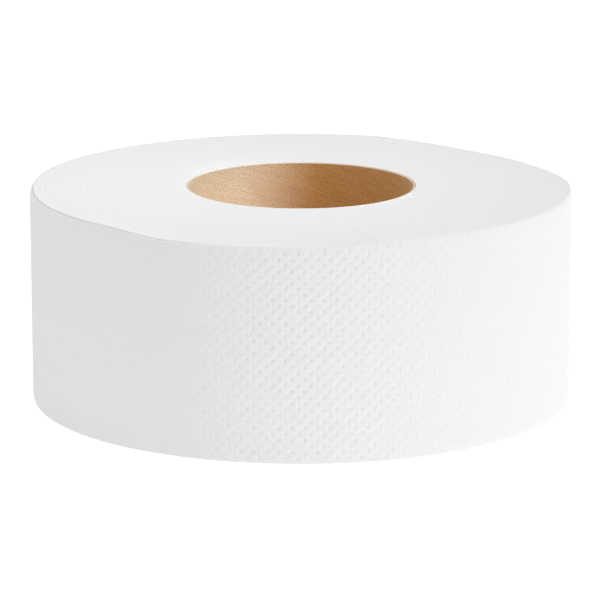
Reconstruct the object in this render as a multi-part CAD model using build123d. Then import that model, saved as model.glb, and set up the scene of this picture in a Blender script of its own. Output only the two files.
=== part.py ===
from build123d import *
import os
from math import pi, sqrt

# A jumbo toilet paper roll for a washroom dispenser, standing on its end. +Z runs up the roll's
# axis, and z = 0 is the surface that the roll stands on. The photograph was taken from -Y.

# Driving dimensions, in millimetres and degrees

# The wound paper
roll_diameter = 200.0
sheet_width = 79.0
sheet_caliper = 0.3
tail_angle = 70.0
rim_chamfer = 0.7
eye_chamfer = 0.4

# The paperboard tube
core_bore = 82.5
core_wall = 1.0
core_setback = 0.3
glue_clearance = 0.05

# The line that the turns draw on each end face
turn_line_spacing = 7.5
turn_line_width = 0.5
turn_line_depth = 0.3
turn_line_rim_land = 1.5
turn_line_core_land = 1.5

# The line just inside the rim where the last turn's first half is slack and stands off the roll
slack_line_land = 0.6

# The seam where the board strip's edges meet along the inside of the tube
board_strip_width = 80.0
seam_width = 0.6
seam_depth = 0.25
seam_top_angle = -110.0

# Sizes that follow from the driving dimensions
roll_radius = roll_diameter / 2
bore_radius = core_bore / 2
core_outer_radius = bore_radius + core_wall
core_length = sheet_width - 2 * core_setback
winding_bore_radius = core_outer_radius + glue_clearance


def half_turn(section, turn_step, index):
    """Sweep a section of the XZ plane through one half of a spiral's turn.

    A spiral drawn by compass: each half turn is a half circle about a centre that lies a quarter
    of the turn's step to one side of the axis, even ones on the +Y side and odd ones on the -Y
    side, so that they meet with no corner. Each is half a step smaller than the one before.
    """
    swept = Pos(turn_step / 4, 0, 0) * revolve(section, Axis.Z, 180)
    return Rot(0, 0, 180 * (index % 2)) * swept


def last_turn_radius(index):
    """Radius of the paper's outside over each half of its last turn, about that half's centre."""
    return roll_radius - sheet_caliper / 4 - index * sheet_caliper / 2


def paper_half(index):
    """Half of the wound paper, with its two rims softened as a slit edge wears."""
    radius = last_turn_radius(index)
    section = Plane.XZ * Pos(radius / 2, sheet_width / 2) * Rectangle(radius, sheet_width)
    rims = section.vertices().sort_by(Axis.X)[-2:]
    return half_turn(chamfer(rims, rim_chamfer), sheet_caliper, index)


def turn_line_section(radius, face_z, inward):
    """A small V that is cut into an end face, with its mouth drawn past the face."""
    half_width = turn_line_width / 2
    mouth_z = face_z - inward * turn_line_depth
    return Plane.XZ * make_face(
        Polyline(
            (radius - 2 * half_width, mouth_z),
            (radius + 2 * half_width, mouth_z),
            (radius, face_z + inward * turn_line_depth),
            close=True,
        )
    )


def slack_line(face_z, inward):
    """The line that follows the last turn's own curve, from its tail half way round the roll."""
    radius = last_turn_radius(0) - rim_chamfer - slack_line_land
    return half_turn(turn_line_section(radius, face_z, inward), sheet_caliper, 0)


def turn_lines(face_z, inward):
    """The spiral that the turns draw on one end face, as a list of cutters, one per half turn."""
    outermost = roll_radius - sheet_caliper - rim_chamfer - slack_line_land - turn_line_rim_land
    innermost = winding_bore_radius + eye_chamfer + turn_line_core_land
    step = turn_line_spacing
    # Half circles set off by a quarter of the step reach that much past both ends of the spiral
    half_turns = int((outermost - innermost) / (step / 2))
    cutters = []
    for index in range(half_turns):
        radius = outermost - step / 4 - index * step / 2
        section = turn_line_section(radius, face_z, inward)
        cutters.append(half_turn(section, step, index))
    return cutters


def make_tissue_winding():
    """All the turns as one solid: a spiral outside with its tail's step, and a true round eye."""
    winding = paper_half(0) + paper_half(1)
    for face_z, inward in ((sheet_width, -1), (0, 1)):
        winding -= turn_lines(face_z, inward)
        winding -= slack_line(face_z, inward)
    winding = Rot(0, 0, tail_angle) * winding
    eye = Pos(0, 0, sheet_width / 2) * Cylinder(winding_bore_radius, 2 * sheet_width)
    winding -= eye
    eye_edges = (
        winding.edges()
        .filter_by(GeomType.CIRCLE)
        .filter_by(lambda edge: abs(edge.radius - winding_bore_radius) < glue_clearance / 2)
    )
    return chamfer(eye_edges, eye_chamfer)


def seam_cutter():
    """A thin strip along a helix on the bore's wall, which runs out of both ends of the tube."""
    circumference = pi * core_bore
    lead = board_strip_width * circumference / sqrt(circumference**2 - board_strip_width**2)
    overrun = seam_width * 2
    path_height = core_length + 2 * overrun
    path = Helix(lead, path_height, bore_radius)
    start = Plane(origin=path @ 0, x_dir=(1, 0, 0), z_dir=path % 0)
    section = start * Rectangle(2 * seam_depth, seam_width)
    strip = sweep(section, path=path, is_frenet=True)
    turned = seam_top_angle - 360 * (path_height - overrun) / lead
    return Pos(0, 0, core_setback - overrun) * Rot(0, 0, turned) * strip


def make_core_tube():
    """The spiral-wound board tube, open from end to end, with its seam along the inside."""
    middle = Pos(0, 0, sheet_width / 2)
    tube = middle * Cylinder(core_outer_radius, core_length)
    tube -= middle * Cylinder(bore_radius, 2 * core_length)
    return tube - seam_cutter()


os.makedirs("parts", exist_ok=True)
export_step(make_tissue_winding(), "parts/tissue_winding.step")
export_step(make_core_tube(), "parts/core_tube.step")
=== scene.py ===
# %% [markdown]
# # A jumbo roll of toilet paper
#
# The object is a wide roll of white, embossed two-ply tissue on a brown board tube, standing on
# its end as in a shop's catalogue. The construction model is loaded first and stays in place.
# The visible skin is then modelled round it in three pieces: the last turn of the sheet, the
# turns under it, and the tube.

# %% Load the construction model
from math import atan2, cos, exp, hypot, pi, radians, sin, tau

import bpy
import numpy as np
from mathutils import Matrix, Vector, noise


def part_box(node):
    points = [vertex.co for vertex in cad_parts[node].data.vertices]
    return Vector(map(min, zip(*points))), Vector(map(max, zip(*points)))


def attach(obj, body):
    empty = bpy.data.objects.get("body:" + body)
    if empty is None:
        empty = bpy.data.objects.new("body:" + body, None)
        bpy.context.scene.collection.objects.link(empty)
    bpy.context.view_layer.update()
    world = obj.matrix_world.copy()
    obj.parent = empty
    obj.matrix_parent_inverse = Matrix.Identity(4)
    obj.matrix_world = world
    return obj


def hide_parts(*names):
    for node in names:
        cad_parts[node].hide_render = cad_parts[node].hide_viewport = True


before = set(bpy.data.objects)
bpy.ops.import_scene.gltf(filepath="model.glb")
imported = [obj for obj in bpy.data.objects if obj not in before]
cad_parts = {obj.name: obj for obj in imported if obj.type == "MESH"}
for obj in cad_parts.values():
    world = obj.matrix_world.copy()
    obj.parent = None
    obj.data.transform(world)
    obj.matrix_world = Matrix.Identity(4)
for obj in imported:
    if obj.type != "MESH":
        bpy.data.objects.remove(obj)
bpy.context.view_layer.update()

MM = 0.001

# %% [markdown]
# ## Sizes
#
# Blender works in metres here, so a size in millimetres is multiplied by MM. Sizes that the
# construction model fixes are read from it. The roll's outline is a spiral, widest at the tail,
# where the sheet ends, and one sheet's thickness smaller a turn later.

# %% Sizes read from the frame
winding_low, winding_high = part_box("tissue_winding")
tube_low, tube_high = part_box("core_tube")

BOX_MARGIN = 0.04 * MM
ROLL_HEIGHT = winding_high.z - winding_low.z
TAIL_RADIUS = winding_high.y - BOX_MARGIN
TAIL_STEP = 0.3 * MM
TAIL_ANGLE = radians(70)

TUBE_RADIUS = tube_high.x
TUBE_WALL = 1.0 * MM
TUBE_HEIGHT = tube_high.z - tube_low.z
GLUE_GAP = 0.05 * MM
EYE_RADIUS = TUBE_RADIUS + GLUE_GAP

print(f"roll {TAIL_RADIUS / MM:.2f} mm to its tail and {ROLL_HEIGHT / MM:.1f} mm high")
print(f"tube {TUBE_RADIUS / MM:.2f} mm to its outside and {TUBE_HEIGHT / MM:.1f} mm high")

# %% [markdown]
# ## Working as by hand, in code
#
# Blender's operators act on whatever is selected. In the window that is a click; here a helper
# opens a piece in edit mode with exactly the vertices, edges or faces that a test on their
# places has picked. Where a place has to be met exactly, a hundredth of a millimetre is near
# enough.

# %% Helpers for selecting
NEAR = 0.01 * MM
SELECT_KINDS = {"vertices": "VERT", "edges": "EDGE", "polygons": "FACE"}


def only(piece):
    """Makes the piece the one selected and active object, in object mode."""
    if bpy.context.object and bpy.context.object.mode != "OBJECT":
        bpy.ops.object.mode_set(mode="OBJECT")
    bpy.ops.object.select_all(action="DESELECT")
    if piece:
        piece.select_set(True)
        bpy.context.view_layer.objects.active = piece


def pick(piece, kind, picked=True):
    """Opens the piece in edit mode with just the picked vertices, edges or faces selected."""
    only(piece)
    for each in SELECT_KINDS:
        elements = getattr(piece.data, each)
        selected = np.zeros(len(elements), bool)
        if each == kind:
            selected[:] = picked
        elements.foreach_set("select", selected)
    bpy.context.tool_settings.mesh_select_mode = [each == kind for each in SELECT_KINDS]
    bpy.ops.object.mode_set(mode="EDIT")
    bpy.ops.mesh.select_mode(type=SELECT_KINDS[kind])


def points_of(piece):
    """The piece's vertices as rows of x, y and z."""
    only(piece)
    points = np.empty(len(piece.data.vertices) * 3)
    piece.data.vertices.foreach_get("co", points)
    return points.reshape(-1, 3)


def edge_middles(piece):
    """The middle of each edge, and the edge's own vector."""
    points = points_of(piece)
    ends = np.empty(len(piece.data.edges) * 2, int)
    piece.data.edges.foreach_get("vertices", ends)
    start, end = points[ends[0::2]], points[ends[1::2]]
    return (start + end) / 2, end - start


def face_middles(piece):
    """The middle of each face."""
    only(piece)
    middles = np.empty(len(piece.data.polygons) * 3)
    piece.data.polygons.foreach_get("center", middles)
    return middles.reshape(-1, 3)


def from_axis(points):
    """How far each point lies from the roll's axis."""
    return np.hypot(points[:, 0], points[:, 1])


# %% [markdown]
# Five more helpers do what is done to every piece. Paper is soft, so points are often pushed
# with proportional editing, which takes the points round them along by less and less. Modifiers
# are applied at once, and a piece's place, turn and scale go into its mesh. At the end its
# doubled points are merged, its faces are turned outwards, and it is shaded smooth, except where
# two faces meet at a plain corner.

# %% Helpers for shaping and finishing
DOUBLES = 0.001 * MM
SMOOTH_BELOW = radians(35)


def push_softly(value, reach, falloff="SMOOTH"):
    """Moves what is selected, and takes the points within reach of it along."""
    bpy.ops.transform.translate(
        value=value,
        use_proportional_edit=True,
        proportional_edit_falloff=falloff,
        proportional_size=reach,
    )


def apply_modifier(piece, kind, **settings):
    """Adds a modifier to the piece with its settings, and applies it."""
    only(piece)
    modifier = piece.modifiers.new(kind.title(), kind)
    for name, value in settings.items():
        setattr(modifier, name, value)
    bpy.ops.object.modifier_apply(modifier=modifier.name)


def bake_place(piece):
    """Moves the piece's place, turn and scale into its mesh."""
    only(piece)
    bpy.ops.object.transform_apply(location=True, rotation=True, scale=True)


def close_up(piece):
    """Merges doubled points, turns every face outwards, and prints what the mesh has become."""
    pick(piece, "vertices")
    bpy.ops.mesh.remove_doubles(threshold=DOUBLES)
    bpy.ops.mesh.normals_make_consistent(inside=False)
    bpy.ops.mesh.select_all(action="DESELECT")
    bpy.ops.mesh.select_non_manifold()
    only(piece)
    open_points = sum(vertex.select for vertex in piece.data.vertices)
    triangles = sum(len(face.vertices) - 2 for face in piece.data.polygons)
    print(f"{piece.name}: {triangles} triangles, {open_points} points on open edges")


def shade_smooth(piece):
    """Shades the piece smooth, except at its plain corners."""
    only(piece)
    bpy.ops.object.shade_smooth_by_angle(angle=SMOOTH_BELOW)


# %% [markdown]
# ## The last turn of the sheet
#
# On the real roll this is the end of one long strip of tissue. Its two plies are pressed together
# by a steel roller whose pins leave small dents in staggered rows. The dents could be painted
# with a bump map, but raking light finds them first of all, so they are real dents here.
#
# The strip is modelled flat, as the mill makes it, and wound afterwards. A grid gets six columns
# of cells for each dent along the strip and three rows of cells across it.

# %% Lay the strip flat
DENTS_AROUND = 140
DENT_ROWS = 35
COLUMNS_PER_DENT = 6
ROWS_PER_DENT = 3

columns = DENTS_AROUND * COLUMNS_PER_DENT
rows = (DENT_ROWS + 1) * ROWS_PER_DENT
turn_length = tau * TAIL_RADIUS
half_length = turn_length / 2

only(None)
bpy.ops.mesh.primitive_grid_add(
    x_subdivisions=columns, y_subdivisions=rows, size=1, rotation=(pi / 2, 0, 0)
)
wrap = bpy.context.object
wrap.name = "outer_wrap"
wrap.scale = (turn_length, ROLL_HEIGHT, 1)
wrap.location = (0, 0, ROLL_HEIGHT / 2)
bake_place(wrap)
print(f"flat strip {turn_length / MM:.1f} by {ROLL_HEIGHT / MM:.1f} mm, {columns} by {rows} cells")

# %% [markdown]
# Every third row of the grid has a vertex where a pin presses, and every other such row is
# shifted by half a step. Those vertices are pushed in together, with proportional editing, so
# that the cells round each one follow it in a soft curve. That marks the whole sheet lightly.
#
# Handling flattens the marks on the outside of a roll, and they stay deep in the stretches
# between. The photograph shows one such band, in the middle of the front; the two that face
# away are a guess. Four more pushes deepen the bands, each given by its middle and its width,
# and each push is on fewer dents than the one before. So the depth fades out towards a band's
# borders, a little unevenly, because each pin has more or less luck.

# %% Press the dents
DENT_DEPTH = 0.20 * MM
EXTRA_DEPTH = 0.1 * MM
EXTRA_LEVELS = (0.15, 0.35, 0.55, 0.75)
DENT_REACH = 1.1 * MM
FRESH_BANDS = (
    (radians(-85), radians(19)),
    (radians(48), radians(30)),
    (radians(150), radians(20)),
)
PIN_LUCK = (0.6, 1.2)
PINS_SEED = 7

points = points_of(wrap)
column = np.rint((points[:, 0] / turn_length + 0.5) * columns).astype(int)
row = np.rint(points[:, 2] / ROLL_HEIGHT * rows).astype(int)
stagger = (row // ROWS_PER_DENT % 2) * (COLUMNS_PER_DENT // 2)
on_a_row = (row % ROWS_PER_DENT == 0) & (row > 0) & (row < rows)
in_the_row = ((column - stagger) % COLUMNS_PER_DENT == 0) & (column > 0) & (column < columns)

dents = on_a_row & in_the_row
azimuth = TAIL_ANGLE + (points[:, 0] / turn_length + 0.5) * tau
fresh = np.zeros(len(points))
for middle, width in FRESH_BANDS:
    off_middle = (azimuth - middle + pi) % tau - pi
    fresh += np.exp(-((off_middle / width) ** 2))
fresh *= np.random.default_rng(PINS_SEED).uniform(*PIN_LUCK, len(fresh))

pick(wrap, "vertices", dents)
push_softly((0, DENT_DEPTH, 0), DENT_REACH)
for level in EXTRA_LEVELS:
    pick(wrap, "vertices", dents & (fresh > level))
    push_softly((0, EXTRA_DEPTH, 0), DENT_REACH)
    print(np.count_nonzero(dents & (fresh > level)), "of", dents.sum(), "dents pressed further")
print(f"dents up to {points_of(wrap)[:, 1].max() / MM:.2f} mm deep")

# %% [markdown]
# No tissue is as even as its roller. Two Displace modifiers with cloud textures loosen the sheet:
# a broad one for the way that soft turns give under a hand, and a fine one that makes some dents
# shallower than others. Both only push inwards, so the roll keeps its size.

# %% Loosen the sheet
SOFT_TURNS = dict(size=22 * MM, depth=0.10 * MM, detail=1)
UNEVEN_PLIES = dict(size=2.4 * MM, depth=0.07 * MM, detail=2)

for wave in (SOFT_TURNS, UNEVEN_PLIES):
    clouds = bpy.data.textures.new("clouds", "CLOUDS")
    clouds.noise_scale = wave["size"]
    clouds.noise_depth = wave["detail"]
    apply_modifier(
        wrap,
        "DISPLACE",
        texture=clouds,
        texture_coords="LOCAL",
        direction="Y",
        mid_level=0,
        strength=wave["depth"],
    )
print("sheet pushed in by up to", round(points_of(wrap)[:, 1].max() / MM, 2), "mm")

# %% [markdown]
# A roll is sawn from a log as wide as the paper machine, and the saw presses the soft turns
# inwards on both sides of its cut. So the wall leans in towards both rims, and under the lamp
# that draws a paler band along the top one. The strip's long borders are pushed in with a
# falloff that is steepest at the very edge.

# %% Lean the borders in
SHOULDER_DEPTH = 0.3 * MM
SHOULDER_REACH = 3.5 * MM

points = points_of(wrap)
at_rims = (points[:, 2] < NEAR) | (points[:, 2] > ROLL_HEIGHT - NEAR)
pick(wrap, "vertices", at_rims)
push_softly((0, SHOULDER_DEPTH, 0), SHOULDER_REACH, falloff="SHARP")
print(f"borders lie {points_of(wrap)[at_rims, 1].mean() / MM:.2f} mm in")

# %% [markdown]
# A skin with no thickness would have a hard, see-through rim, so the strip gets a back. It is
# as thick as the last four turns together, because a single turn is too thin to round off.
# Its border is extruded backwards and flattened there. The points along the two cut ends are
# dissolved, and the long borders are bridged with plain faces: the back is never seen, so it
# costs a few hundred faces and not another hundred thousand. The two long front edges are
# bevelled, because the slit edges of soft paper wear round.

# %% Give the strip its thickness
SKIN_THICKNESS = 1.2 * MM
RIM_ROUNDING = 0.7 * MM

pick(wrap, "vertices", False)
bpy.ops.mesh.select_mode(type="EDGE")
bpy.ops.mesh.select_non_manifold()
bpy.ops.mesh.extrude_edges_move(TRANSFORM_OT_translate={"value": (0, SKIN_THICKNESS, 0)})
bpy.ops.transform.resize(value=(1, 0, 1), center_override=(0, SKIN_THICKNESS, 0))

points = points_of(wrap)
at_back = abs(points[:, 1] - SKIN_THICKNESS) < NEAR
at_rims = (points[:, 2] < NEAR) | (points[:, 2] > ROLL_HEIGHT - NEAR)
pick(wrap, "vertices", at_back & ~at_rims)
bpy.ops.mesh.dissolve_verts()

middles, vectors = edge_middles(wrap)
at_back = abs(middles[:, 1] - SKIN_THICKNESS) < NEAR
lengthwise = abs(vectors[:, 0]) > abs(vectors[:, 2])
pick(wrap, "edges", at_back & lengthwise)
bpy.ops.mesh.bridge_edge_loops()

middles, vectors = edge_middles(wrap)
at_rims = (middles[:, 2] < NEAR) | (middles[:, 2] > ROLL_HEIGHT - NEAR)
in_front = middles[:, 1] < SKIN_THICKNESS / 2
lengthwise = abs(vectors[:, 0]) > abs(vectors[:, 1])
pick(wrap, "edges", at_rims & in_front & lengthwise)
bpy.ops.mesh.bevel(offset=RIM_ROUNDING, segments=3, affect="EDGES")
close_up(wrap)

# %% [markdown]
# Where the front left of the rim catches the light, the photograph shows a fine dark line just
# inside it: the last turn is slack there and has slipped a little way down. Its top edge is
# pushed down in the middle of that stretch, with a broad falloff. The tail's own edge is lifted
# a hair off the roll in the same way.

# %% Let the last turn slip, and lift its tail
SLIP_DEPTH = 0.5 * MM
SLIP_ANGLES = (radians(180), radians(240))
SLIP_REACH = 30 * MM
TAIL_LIFT = 0.3 * MM
TAIL_REACH = 8 * MM


def place_on_strip(azimuth):
    """Where along the flat strip a direction on the wound roll lies."""
    return ((azimuth - TAIL_ANGLE) / tau - 0.5) * turn_length


points = points_of(wrap)
slip_from, slip_to = (place_on_strip(azimuth) for azimuth in SLIP_ANGLES)
at_top = points[:, 2] > ROLL_HEIGHT - SKIN_THICKNESS
pick(wrap, "vertices", at_top & (points[:, 0] > slip_from) & (points[:, 0] < slip_to))
push_softly((0, 0, -SLIP_DEPTH), SLIP_REACH)

points = points_of(wrap)
pick(wrap, "vertices", points[:, 0] < NEAR - half_length)
push_softly((0, -TAIL_LIFT, 0), TAIL_REACH)
print(f"slipped from {slip_from / MM:.0f} to {slip_to / MM:.0f} mm along the strip")

# %% [markdown]
# The strip is turned by a hair, so that it starts at the tail's radius and ends one step further
# in. A Simple Deform modifier then bends it through a whole turn. Its axis comes to lie in front
# of the strip, at the radius of the turn, so the piece is moved back by that much, and turned
# until its tail is where the construction model has it.

# %% Wind the strip
BEND_JOINT = radians(90)

wrap.rotation_euler.z = TAIL_STEP / turn_length
wrap.location.y = TAIL_STEP / 2
bake_place(wrap)
apply_modifier(wrap, "SIMPLE_DEFORM", deform_method="BEND", deform_axis="Z", angle=tau)

wrap.location.y = -TAIL_RADIUS
bake_place(wrap)
wrap.rotation_euler.z = TAIL_ANGLE - BEND_JOINT
bake_place(wrap)
shade_smooth(wrap)

reach = from_axis(points_of(wrap))
print(f"wound strip lies between {reach.min() / MM:.2f} and {reach.max() / MM:.2f} mm from the axis")

# %% [markdown]
# ## The turns under it
#
# Some hundreds of turns lie under the last one, and all that shows of them is their slit edges
# on the two end faces. One solid ring stands for them. The ring is round and the last turn a
# spiral, so its radius lies in the middle of the spiral's step. Its section is a rectangle with
# blunted corners. Only its top and bottom edges are divided finely, each twice over, because
# only they need relief.

# %% Draw the section of the ring
RING_RADIUS = TAIL_RADIUS - SKIN_THICKNESS - TAIL_STEP / 2
RING_CORNER = 0.2 * MM
TOP_CUTS = 14
BOTTOM_CUTS = 7
SPIN_STEPS = 240

only(None)
bpy.ops.mesh.primitive_plane_add(size=1, rotation=(pi / 2, 0, 0))
ring = bpy.context.object
ring.name = "winding_body"
ring.scale = (RING_RADIUS - EYE_RADIUS, ROLL_HEIGHT, 1)
ring.location = ((RING_RADIUS + EYE_RADIUS) / 2, 0, ROLL_HEIGHT / 2)
bake_place(ring)

pick(ring, "vertices")
bpy.ops.mesh.bevel(offset=RING_CORNER, segments=2, affect="VERTICES")
for edge_z, cuts in ((ROLL_HEIGHT, TOP_CUTS), (0, BOTTOM_CUTS)):
    middles, vectors = edge_middles(ring)
    pick(ring, "edges", abs(middles[:, 2] - edge_z) < NEAR)
    bpy.ops.mesh.subdivide(number_cuts=cuts)
    bpy.ops.mesh.subdivide(number_cuts=cuts)
pick(ring, "polygons")
bpy.ops.mesh.delete(type="ONLY_FACE")
only(ring)
print("the section has", len(ring.data.vertices), "points")

# %% [markdown]
# Spinning the section about the roll's axis makes the ring. The outer wall is then moved a
# little to the back right, which leaves the last turn slack at the front left.

# %% Spin the ring
SLACK_ANGLE = radians(200)
SLACK_SHIFT = 0.1 * MM

pick(ring, "vertices")
bpy.ops.mesh.spin(steps=SPIN_STEPS, angle=tau, center=(0, 0, 0), axis=(0, 0, 1))
close_up(ring)

pick(ring, "vertices", from_axis(points_of(ring)) > RING_RADIUS - RING_CORNER - NEAR)
bpy.ops.transform.translate(
    value=(-SLACK_SHIFT * cos(SLACK_ANGLE), -SLACK_SHIFT * sin(SLACK_ANGLE), 0)
)
print(f"ring lies up to {from_axis(points_of(ring)).max() / MM:.2f} mm from the axis")

# %% [markdown]
# The end faces aren't flat on the real roll. Turns creep up or down past their neighbours by a
# few hundredths of a millimetre, and in raking light that draws the fine arcs of the winding.
# Sculpting them would be guesswork, and a bump map can't be seen from the side. Here the relief
# is painted as vertex weights, by a rule, and one Displace modifier for each face lowers the
# points by their weight. The rule adds up three things: the line of the spiral, broad terraces,
# and fine ridges that come and go in patches. Its widths and radii are in millimetres, and its
# changes say how much of the noise a pattern crosses on its way round the roll.

# %% The rule of the relief
SPIRAL_START = 96.9
SPIRAL_PITCH = 7.5
SPIRAL_END = 46.0
LINE_WIDTH = 0.6
TERRACE_WIDTH, TERRACE_CHANGES = 4.5, 1.5
RIDGE_WIDTH, RIDGE_CHANGES = 1.2, 2.5
PATCH_WIDTH, PATCH_CHANGES, PATCH_CONTRAST = 14, 2.0, 2
LINE_SHARE, TERRACE_SHARE, RIDGE_SHARE = 0.22, 0.50, 0.28


def spiral_line(radius, azimuth):
    """1 on the line that the turns draw on an end face, and 0 away from it."""
    arm = SPIRAL_START - SPIRAL_PITCH * ((azimuth - TAIL_ANGLE) / tau % 1)
    off_line = (radius - arm + SPIRAL_PITCH / 2) % SPIRAL_PITCH - SPIRAL_PITCH / 2
    inside = SPIRAL_END < radius < arm + LINE_WIDTH
    return exp(-((off_line / LINE_WIDTH) ** 2)) if inside else 0


def relief(point, seed):
    """How far down a point of an end face lies, from 0 to 1 of the relief's depth."""
    radius = hypot(point[0], point[1]) / MM
    azimuth = atan2(point[1], point[0])
    around = Vector((0, cos(azimuth), sin(azimuth)))
    terrace = noise.noise(Vector((radius / TERRACE_WIDTH, 0, seed)) + TERRACE_CHANGES * around)
    ridge = noise.noise(Vector((radius / RIDGE_WIDTH, seed, 0)) + RIDGE_CHANGES * around)
    patch = noise.noise(Vector((radius / PATCH_WIDTH, seed, seed)) + PATCH_CHANGES * around)
    ridge *= min(max(0.5 + PATCH_CONTRAST * patch, 0), 1)
    down = LINE_SHARE * spiral_line(radius, azimuth)
    return down + TERRACE_SHARE * (0.5 + terrace / 2) + RIDGE_SHARE * (0.5 + ridge / 2)


# %% Paint the relief of the slit edges
RELIEF_DEPTH = 0.18 * MM

points = points_of(ring)
for end, face_z, down in (("top_end", ROLL_HEIGHT, -1), ("bottom_end", 0, 1)):
    weights = ring.vertex_groups.new(name=end)
    on_face = np.flatnonzero(abs(points[:, 2] - face_z) < NEAR)
    for index in on_face:
        weights.add([int(index)], relief(points[index], seed=face_z / MM), "REPLACE")
    apply_modifier(
        ring,
        "DISPLACE",
        direction="Z",
        mid_level=0,
        strength=down * RELIEF_DEPTH,
        vertex_group=end,
    )
    depth = abs(points_of(ring)[on_face, 2] - face_z)
    print(f"{end}: {len(on_face)} points, {depth.min() / MM:.3f} to {depth.max() / MM:.3f} mm down")
ring.vertex_groups.clear()
shade_smooth(ring)

# %% [markdown]
# A soft roll that has been stood on its end, lifted and squeezed has no true rim. In the
# photograph the rim dips in the middle of the front, towards the left, and again at the back
# right. The outer turns have sagged there and taken their neighbours along. The top of the last
# turn and the top of the ring are pushed down by the same amount, with the same broad falloff,
# so that they stay together.

# %% Let the outer turns sag
SAGS = (
    dict(start=radians(243), end=radians(272), depth=1.7 * MM, reach=30 * MM),
    dict(start=radians(27), end=radians(45), depth=1.8 * MM, reach=55 * MM),
)

for piece in (wrap, ring):
    for sag in SAGS:
        points = points_of(piece)
        azimuth = np.arctan2(points[:, 1], points[:, 0]) % tau
        outermost = from_axis(points) > RING_RADIUS - SKIN_THICKNESS
        at_top = points[:, 2] > ROLL_HEIGHT - SKIN_THICKNESS
        in_stretch = (azimuth > sag["start"]) & (azimuth < sag["end"])
        pick(piece, "vertices", outermost & at_top & in_stretch)
        push_softly((0, 0, -sag["depth"]), sag["reach"])
    highest = points_of(piece)[:, 2].max()
    print(f"{piece.name}: still {highest / MM:.2f} mm high where it hasn't sagged")

# %% [markdown]
# ## The tube
#
# The core is a strip of kraft board wound into a tube along a steep screw line, with its glued
# edges showing inside as one fine seam. Cutting a screw-shaped groove into a finished tube is
# awkward. On the unrolled board the same seam is a straight diagonal, so the board is modelled
# flat and then bent round, as the sheet was. It starts as the tube's inner side, gets its
# thickness by extruding and bridging its long borders, and has them bevelled.

# %% Lay the board flat
BOARD_COLUMNS = 144
BOARD_ROUNDING = 0.12 * MM

board_length = tau * TUBE_RADIUS
half_height = TUBE_HEIGHT / 2

only(None)
bpy.ops.mesh.primitive_grid_add(
    x_subdivisions=BOARD_COLUMNS, y_subdivisions=1, size=1, rotation=(-pi / 2, 0, 0)
)
tube = bpy.context.object
tube.name = "board_tube"
tube.scale = (board_length, TUBE_HEIGHT, 1)
tube.location = (0, TUBE_WALL, 0)
bake_place(tube)


def long_edges(piece, farthest=TUBE_WALL):
    """Which edges run along the board's top and bottom, up to a distance from its outside."""
    middles, vectors = edge_middles(piece)
    at_rims = abs(middles[:, 2]) > half_height - NEAR
    lengthwise = abs(vectors[:, 0]) > abs(vectors[:, 1])
    return at_rims & lengthwise & (middles[:, 1] < farthest + NEAR)


pick(tube, "edges", long_edges(tube))
bpy.ops.mesh.extrude_edges_move(TRANSFORM_OT_translate={"value": (0, -TUBE_WALL, 0)})
pick(tube, "edges", long_edges(tube, farthest=0))
bpy.ops.mesh.bridge_edge_loops()
pick(tube, "edges", long_edges(tube))
bpy.ops.mesh.bevel(offset=BOARD_ROUNDING, segments=2, affect="EDGES")
only(tube)
print(f"board {board_length / MM:.1f} by {TUBE_HEIGHT / MM:.1f} mm, {len(tube.data.polygons)} faces")

# %% [markdown]
# The seam is cut with the Bisect operator, twice on each side of the diagonal: the inner pair of
# cuts bounds the groove's floor and the outer pair its two walls. Then the floor's points are
# pressed in. The cuts run through the bevels too, so the groove runs out of both ends.

# %% Cut the seam and press it in
SEAM_WIDTH = 0.6 * MM
SEAM_FLOOR = 0.3 * MM
SEAM_DEPTH = 0.25 * MM
SEAM_HALF_SPAN = radians(168)

seam_run = 2 * SEAM_HALF_SPAN / tau * board_length
seam_slope = atan2(TUBE_HEIGHT, seam_run)
across_seam = Vector((-sin(seam_slope), 0, cos(seam_slope)))
inner_side = TUBE_WALL - 2 * BOARD_ROUNDING

for offset in (-SEAM_WIDTH / 2, -SEAM_FLOOR / 2, SEAM_FLOOR / 2, SEAM_WIDTH / 2):
    pick(tube, "polygons", face_middles(tube)[:, 1] > inner_side)
    bpy.ops.mesh.bisect(plane_co=offset * across_seam, plane_no=across_seam)

points = points_of(tube)
from_seam = abs(points @ np.array(across_seam))
pick(tube, "vertices", (from_seam < SEAM_FLOOR / 2 + NEAR) & (points[:, 1] > inner_side))
bpy.ops.transform.translate(value=(0, -SEAM_DEPTH, 0))
only(tube)
print(f"seam {seam_run / MM:.0f} mm along the board, rising at {np.degrees(seam_slope):.1f} degrees")

# %% [markdown]
# The board is bent as the sheet was, and turned until the middle of its seam lies at the back,
# where the camera looks into the tube. Its two cut ends meet exactly, and merging their points
# closes the tube.

# %% Bend the board into a tube
SEAM_MIDDLE_ANGLE = radians(82)

apply_modifier(tube, "SIMPLE_DEFORM", deform_method="BEND", deform_axis="Z", angle=tau)
tube.location = (0, -TUBE_RADIUS, tube_low.z + half_height)
bake_place(tube)
tube.rotation_euler.z = SEAM_MIDDLE_ANGLE + BEND_JOINT
bake_place(tube)
close_up(tube)
shade_smooth(tube)

reach = from_axis(points_of(tube))
print(f"tube lies between {reach.min() / MM:.2f} and {reach.max() / MM:.2f} mm from the axis")

# %% [markdown]
# ## Materials
#
# One helper adds a shader node, sets it, and gives each of its inputs a value or a link. Another
# turns a colour as it is written for the screen into the linear values that Blender renders
# with.

# %% Helpers for materials


def linear(hex_colour):
    """An sRGB colour such as f4f4f2 as linear red, green, blue and alpha."""
    values = [int(hex_colour[i : i + 2], 16) / 255 for i in (0, 2, 4)]
    return [v / 12.92 if v <= 0.04045 else ((v + 0.055) / 1.055) ** 2.4 for v in values] + [1]


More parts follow.
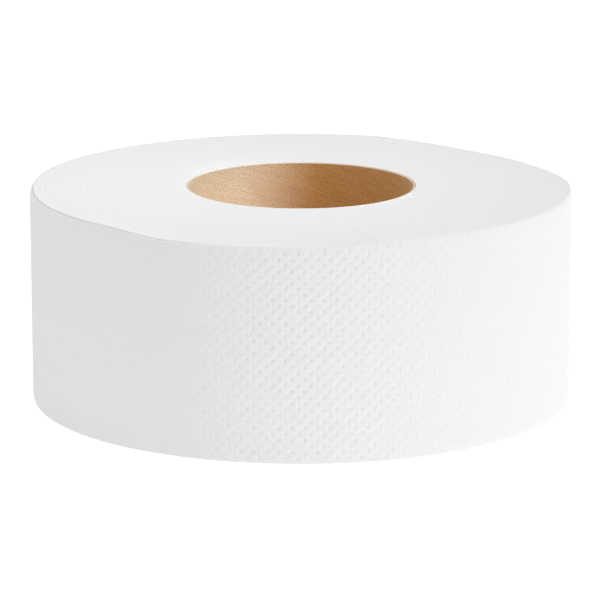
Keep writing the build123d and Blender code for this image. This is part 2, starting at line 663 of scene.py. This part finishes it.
def add_node(tree, kind, inputs=None, **settings):
    """Adds a shader node and gives its inputs, by name or number, a value or a link."""
    node = tree.nodes.new("ShaderNode" + kind)
    for name, value in settings.items():
        setattr(node, name, value)
    for name, value in (inputs or {}).items():
        if isinstance(value, bpy.types.NodeSocket):
            tree.links.new(value, node.inputs[name])
        else:
            node.inputs[name].default_value = value
    return node


def new_material(name):
    """A material with an empty node tree, and that tree."""
    material = bpy.data.materials.new(name)
    material.use_nodes = True
    material.node_tree.nodes.clear()
    return material, material.node_tree


PURE_WHITE = linear("ffffff")

# %% [markdown]
# Toilet tissue is creped: a blade scrapes the wet web off its drying drum and crumples it into
# ripples finer than the eye can count, which run across the strip, so they stand upright on the
# roll. That gives a chalky, matt white with no shine at all. The ripples are drawn about three
# times as coarse as real ones, or they wouldn't show at this distance. They and the fibres are a
# bump on the piece's own UV map, which follows the strip round the roll. The white is the same
# on the sheet and on its slit edges, so it is written once for both. Widths and lengths of
# patterns are in millimetres.

# %% Creped two-ply tissue
CHALKY_WHITE = {
    "Base Color": linear("f5f5f5"),
    "Roughness": 0.9,
    "Diffuse Roughness": 0.5,
    "Specular IOR Level": 0.15,
}
CREPE_WIDTH = 0.9
CREPE_LENGTH = 4
CREPE_DEPTH = 0.26 * MM
FIBRE_SIZE = 0.7
FIBRE_DEPTH = 0.02 * MM

creped_tissue, tree = new_material("creped two-ply tissue")
surface = add_node(tree, "UVMap", uv_map=wrap.data.uv_layers[0].name)
strip = (turn_length / MM, ROLL_HEIGHT / MM, 1)
in_mm = add_node(tree, "Mapping", {"Vector": surface.outputs[0], "Scale": strip})
along_crepe = (1 / CREPE_WIDTH, 1 / CREPE_LENGTH, 1)
stretched = add_node(tree, "Mapping", {"Vector": in_mm.outputs[0], "Scale": along_crepe})
crepe = add_node(
    tree, "TexNoise", {"Vector": stretched.outputs[0], "Scale": 1, "Detail": 3, "Roughness": 0.55}
)
fibres = add_node(
    tree, "TexNoise", {"Vector": in_mm.outputs[0], "Scale": 1 / FIBRE_SIZE, "Detail": 4}
)
crepe_bump = add_node(
    tree, "Bump", {"Strength": 1, "Distance": CREPE_DEPTH, "Height": crepe.outputs["Fac"]}
)
fibre_bump = add_node(
    tree,
    "Bump",
    {
        "Strength": 1,
        "Distance": FIBRE_DEPTH,
        "Height": fibres.outputs["Fac"],
        "Normal": crepe_bump.outputs[0],
    },
)
shader = add_node(tree, "BsdfPrincipled", {**CHALKY_WHITE, "Normal": fibre_bump.outputs[0]})
add_node(tree, "OutputMaterial", {"Surface": shader.outputs[0]})
print(f"{creped_tissue.name}: crepe {CREPE_WIDTH} mm wide")

# %% [markdown]
# The end faces are the same tissue, but cut: a saw or a slitting blade leaves each turn's edge as
# a line of loose fibre ends. The turns are 0.3 mm apart, too fine to show, so their lines are
# drawn three times as wide. The pattern needs the distance from the roll's axis, which comes from the
# Object coordinates: their length with z left out. The direction goes in as well, as a short
# vector, so that a line fades and comes back on its way round without a break anywhere.

# %% Slit edges of the tissue
TURN_LINE_WIDTH = 0.9
TURN_LINE_DEPTH = 0.06 * MM
TURN_LINE_CHANGES = 6
FUZZ_SIZE = 0.8
FUZZ_DEPTH = 0.01 * MM

slit_tissue, tree = new_material("slit edges of wound tissue")
place = add_node(tree, "TexCoord")
flat_in_mm = (1 / MM, 1 / MM, 0)
flat = add_node(tree, "Mapping", {"Vector": place.outputs["Object"], "Scale": flat_in_mm})
radius = add_node(tree, "VectorMath", {0: flat.outputs[0]}, operation="LENGTH")
heading = add_node(tree, "VectorMath", {0: flat.outputs[0]}, operation="NORMALIZE")
scaled = add_node(
    tree, "VectorMath", {0: heading.outputs[0], "Scale": TURN_LINE_CHANGES}, operation="SCALE"
)
parts = add_node(tree, "SeparateXYZ", {"Vector": scaled.outputs[0]})
lines_at = add_node(
    tree,
    "CombineXYZ",
    {"X": parts.outputs["X"], "Y": parts.outputs["Y"], "Z": radius.outputs["Value"]},
)
across_lines = add_node(
    tree, "Mapping", {"Vector": lines_at.outputs[0], "Scale": (1, 1, 1 / TURN_LINE_WIDTH)}
)
turn_lines = add_node(
    tree, "TexNoise", {"Vector": across_lines.outputs[0], "Scale": 1, "Detail": 2, "Roughness": 0.6}
)
fuzz = add_node(tree, "TexNoise", {"Vector": flat.outputs[0], "Scale": 1 / FUZZ_SIZE, "Detail": 4})
line_bump = add_node(
    tree, "Bump", {"Strength": 1, "Distance": TURN_LINE_DEPTH, "Height": turn_lines.outputs["Fac"]}
)
fuzz_bump = add_node(
    tree,
    "Bump",
    {
        "Strength": 1,
        "Distance": FUZZ_DEPTH,
        "Height": fuzz.outputs["Fac"],
        "Normal": line_bump.outputs[0],
    },
)
shader = add_node(tree, "BsdfPrincipled", {**CHALKY_WHITE, "Normal": fuzz_bump.outputs[0]})
add_node(tree, "OutputMaterial", {"Surface": shader.outputs[0]})
print(f"{slit_tissue.name}: lines {TURN_LINE_WIDTH} mm wide")

# %% [markdown]
# Kraft board is pressed from unbleached wood pulp, which leaves it brown. Most of its fibres lie
# in the machine direction, which on the wound tube is the slope of the seam, so it has faint
# long streaks. Its face is calendered: rollers have pressed it hard, and that mottles it with
# small darker flecks and gives it a pale sheen at a glancing angle. Light and shade are also
# painted into its colour. A paler tan on the tube's left side is painted light, and a deeper brown
# on its right is painted shade, and the colour drifts from one to the other round the tube. The
# pattern is laid out on the unrolled board, from its UV map, with its streaks and flecks turned
# to the slope of the seam. The flecks also press into the face a little.

# %% The board's grain
STREAK_LENGTH, STREAK_WIDTH, STREAK_ROUGHNESS = 24, 0.9, 0.65
FLECK_LENGTH, FLECK_WIDTH, FLECK_ROUGHNESS = 0.8, 0.6, 0.7

kraft_board, tree = new_material("calendered kraft board")
surface = add_node(tree, "UVMap", uv_map=tube.data.uv_layers[0].name)
board = (board_length / MM, -TUBE_HEIGHT / MM, 1)
in_mm = add_node(
    tree,
    "Mapping",
    {"Vector": surface.outputs[0], "Scale": board, "Rotation": (0, 0, -seam_slope)},
)
grain = []
for length, width, roughness in (
    (STREAK_LENGTH, STREAK_WIDTH, STREAK_ROUGHNESS),
    (FLECK_LENGTH, FLECK_WIDTH, FLECK_ROUGHNESS),
):
    stretched = add_node(
        tree, "Mapping", {"Vector": in_mm.outputs[0], "Scale": (1 / length, 1 / width, 1)}
    )
    pattern = {"Vector": stretched.outputs[0], "Scale": 1, "Detail": 4, "Roughness": roughness}
    grain.append(add_node(tree, "TexNoise", pattern))
streaks, flecks = grain
print(f"{kraft_board.name}: streaks {STREAK_LENGTH} mm long, flecks {FLECK_LENGTH} mm")

# %% The board's colour round the tube, with painted light on the left and painted shade on the right
# Where round the tube the painted light is strongest: the tube's left side, where the beam falls.
PAINTED_LIGHT_ANGLE = radians(160)

around = add_node(tree, "SeparateXYZ", {"Vector": surface.outputs[0]})
turned = add_node(
    tree,
    "Math",
    {0: around.outputs["X"], 1: tau, 2: SEAM_MIDDLE_ANGLE + pi - PAINTED_LIGHT_ANGLE},
    operation="MULTIPLY_ADD",
)
drift = add_node(tree, "Math", {0: turned.outputs[0]}, operation="COSINE")
# How much painted light the board gets at each place. Where it gets none, it keeps the deeper brown
# that stands for painted shade.
painted_light_share = add_node(
    tree, "MapRange", {"Value": drift.outputs[0], "From Min": 0.2, "From Max": 0.8}
)
# The board's brown mixed with a paler tan: painted light on the tube's left and painted shade on its
# right.
board_with_painted_light = add_node(
    tree,
    "Mix",
    {"Factor": painted_light_share.outputs[0], "A": linear("d19f5b"), "B": linear("eddcc0")},
    data_type="RGBA",
)
print(f"board palest at {np.degrees(PAINTED_LIGHT_ANGLE):.0f} degrees")

# %% Streaks and flecks over it, and the finish
FLECK_DEPTH = 0.05 * MM

streak_ramp = add_node(
    tree,
    "MapRange",
    {"Value": streaks.outputs["Fac"], "From Min": 0.35, "From Max": 0.7, "To Max": 0.7},
)
fleck_ramp = add_node(
    tree,
    "MapRange",
    {"Value": flecks.outputs["Fac"], "From Min": 0.38, "From Max": 0.64, "To Max": 0.8},
)
streaked = add_node(
    tree,
    "Mix",
    {"Factor": streak_ramp.outputs[0], "A": board_with_painted_light.outputs["Result"], "B": linear("e3d3bf")},
    data_type="RGBA",
    blend_type="MULTIPLY",
)
flecked = add_node(
    tree,
    "Mix",
    {"Factor": fleck_ramp.outputs[0], "A": streaked.outputs["Result"], "B": linear("c9b296")},
    data_type="RGBA",
    blend_type="MULTIPLY",
)
board_bump = add_node(
    tree, "Bump", {"Strength": 1, "Distance": FLECK_DEPTH, "Height": flecks.outputs["Fac"]}
)
shader = add_node(
    tree,
    "BsdfPrincipled",
    {
        "Base Color": flecked.outputs["Result"],
        "Roughness": 0.5,
        "Specular IOR Level": 0.5,
        "Sheen Weight": 0.3,
        "Sheen Roughness": 0.4,
        "Normal": board_bump.outputs[0],
    },
)
add_node(tree, "OutputMaterial", {"Surface": shader.outputs[0]})
print(f"{kraft_board.name}: {len(tree.nodes)} nodes")

# %% [markdown]
# Where the board is cut, its raw middle shows: unpressed, paler and without a sheen. Each piece
# now gets its material. The tube wears two: the cut one goes on the faces at its two ends.

# %% Cut edge of the board, and who wears what
cut_board, tree = new_material("cut edge of kraft board")
shader = add_node(tree, "BsdfPrincipled", {"Base Color": linear("e2cdb0"), "Roughness": 0.9})
add_node(tree, "OutputMaterial", {"Surface": shader.outputs[0]})

wrap.data.materials.append(creped_tissue)
ring.data.materials.append(slit_tissue)
tube.data.materials.append(kraft_board)
tube.data.materials.append(cut_board)

middles = face_middles(tube)
from_middle = abs(middles[:, 2] - (tube_low.z + half_height))
at_ends = from_middle > half_height - NEAR
tube.data.polygons.foreach_set("material_index", at_ends.astype(int))
print(at_ends.sum(), "of", len(at_ends), "faces of the tube are cut board")

# %% Bind the pieces to the model
for piece, slot, node in (
    (wrap, "tissue", "tissue_winding"),
    (ring, "tissue", "tissue_winding"),
    (tube, "core_board", "core_tube"),
):
    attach(piece, "root")
    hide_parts(node)
    print(piece.name, "stands for", node, "and is", [each.name for each in piece.data.materials])

# %% [markdown]
# ## The camera
#
# The photograph was taken with a long lens from a little above: the far rim is hardly smaller
# than the near one, and the top is a flat ellipse. The lens, distance and height come from
# matching the measured edges of the roll and its hole. The camera looks a little below the
# roll's middle, because the roll stands a little above the middle of the picture.

# %% Camera
CAMERA_LENS = 226.3
CAMERA_DISTANCE = 1.4
CAMERA_ELEVATION = radians(13.37)
AIM = Vector((-0.40, 0, 35.23)) * MM

to_camera = Vector((0, -cos(CAMERA_ELEVATION), sin(CAMERA_ELEVATION)))
camera_data = bpy.data.cameras.new("camera")
camera_data.lens = CAMERA_LENS
camera_data.clip_start = 0.1
camera_data.clip_end = 20
camera = bpy.data.objects.new("camera", camera_data)
bpy.context.scene.collection.objects.link(camera)
camera.location = AIM + CAMERA_DISTANCE * to_camera
camera.rotation_euler = (pi / 2 - CAMERA_ELEVATION, 0, 0)
bpy.context.scene.camera = camera
print("camera at", [round(value, 3) for value in camera.location])

# %% [markdown]
# ## Light and background
#
# The roll stands on a white sheet in a bright white room. The world gives it an even light from
# all round and the sheet sends some of that back up, so its wall is as bright low down as high
# up. The background is pure white for every ray that shows it: straight from the camera, off a
# gloss, or through glass. One function gives that choice to the world and to the floor.

# %% World
WORLD_LIGHT = 0.605


def shows_background(tree):
    """1 for the rays that show the background, and 0 for those that carry light."""
    ray = add_node(tree, "LightPath")
    shows = ray.outputs["Is Camera Ray"]
    for kind in ("Is Glossy Ray", "Is Transmission Ray"):
        either = add_node(tree, "Math", {0: shows, 1: ray.outputs[kind]}, operation="MAXIMUM")
        shows = either.outputs[0]
    return shows


scene_world = bpy.data.worlds.new("white studio")
bpy.context.scene.world = scene_world
scene_world.use_nodes = True
tree = scene_world.node_tree
tree.nodes.clear()
lighting = add_node(tree, "Background", {"Color": PURE_WHITE, "Strength": WORLD_LIGHT})
backdrop = add_node(tree, "Background", {"Color": PURE_WHITE, "Strength": 1})
either = add_node(
    tree, "MixShader", {0: shows_background(tree), 1: lighting.outputs[0], 2: backdrop.outputs[0]}
)
add_node(tree, "OutputWorld", {"Surface": either.outputs[0]})
print("world light", WORLD_LIGHT, "and a background of pure white")

# %% [markdown]
# The key comes from the right, low and a little in front. It rakes over the front of the roll,
# which is what makes the dents show in the middle of the wall and fade towards both sides. One
# lamp hangs close above the roll, in front of its middle and to the left, so that the top face
# falls off to the right. The last is a narrow and weak beam over the front right rim into the
# tube, where the left of the board is the palest brown in the photograph.

# %% Lights


def towards(azimuth, elevation):
    """The unit vector that points from the roll to a light; azimuths start at +X."""
    across = cos(radians(elevation))
    return Vector(
        (cos(radians(azimuth)) * across, sin(radians(azimuth)) * across, sin(radians(elevation)))
    )


def add_light(name, kind, azimuth, elevation, target=(0, 0, 0), distance=1, **settings):
    """A light that shines on a target from a direction, at a distance in metres."""
    light = bpy.data.lights.new(name, kind)
    for setting, value in settings.items():
        setattr(light, setting, value)
    lamp = bpy.data.objects.new(name, light)
    bpy.context.scene.collection.objects.link(lamp)
    direction = towards(azimuth, elevation)
    lamp.location = Vector(target) * MM + distance * direction
    lamp.rotation_euler = direction.to_track_quat("Z", "Y").to_euler()
    lamp.visible_camera = False
    print(f"{name}: from {azimuth} degrees round and {elevation} up, energy {light.energy:.4g}")


add_light("key from the right", "SUN", azimuth=-23, elevation=13, energy=0.80, angle=radians(15))
add_light(
    "lamp above the roll",
    "AREA",
    azimuth=180,
    elevation=89,
    target=(-40, -50, 79),
    distance=0.3,
    energy=0.265,
    size=0.15,
)
add_light(
    "beam into the tube",
    "AREA",
    azimuth=-42,
    elevation=30,
    target=(0, 0, 79),
    distance=0.2,
    energy=0.0027,
    shape="ELLIPSE",
    size=0.070,
    size_y=0.035,
    spread=radians(7),
)

# %% [markdown]
# The floor is a large sheet of matt white paper. It bounces light up on to the roll and takes its
# shadow. It glows a little, as a photographer's table that is lit from below does. For the rays
# that show the background it glows a little more, up to that background's white.

# %% Floor
FLOOR_SIZE = 12
FLOOR_DROP = 0.02 * MM
FLOOR_GLOW = 0.3
BACKGROUND_GLOW = 0.5

only(None)
bpy.ops.mesh.primitive_plane_add(size=FLOOR_SIZE, location=(0, 0, -FLOOR_DROP))
floor = bpy.context.object
floor.name = "floor"
white_sheet, tree = new_material("matt white paper sweep")
matt = add_node(tree, "BsdfDiffuse", {"Color": linear("fbfbfb"), "Roughness": 0})
lit = []
for strength in (FLOOR_GLOW, BACKGROUND_GLOW):
    glow = add_node(tree, "Emission", {"Color": PURE_WHITE, "Strength": strength})
    lit.append(add_node(tree, "AddShader", {0: matt.outputs[0], 1: glow.outputs[0]}))
either = add_node(
    tree, "MixShader", {0: shows_background(tree), 1: lit[0].outputs[0], 2: lit[1].outputs[0]}
)
add_node(tree, "OutputMaterial", {"Surface": either.outputs[0]})
floor.data.materials.append(white_sheet)
print(f"floor {FLOOR_SIZE} m wide, {FLOOR_DROP / MM:.2f} mm under the roll")

# %% [markdown]
# The Standard view shows a colour as it is written.

# %% Finish
bpy.context.scene.view_settings.view_transform = "Standard"
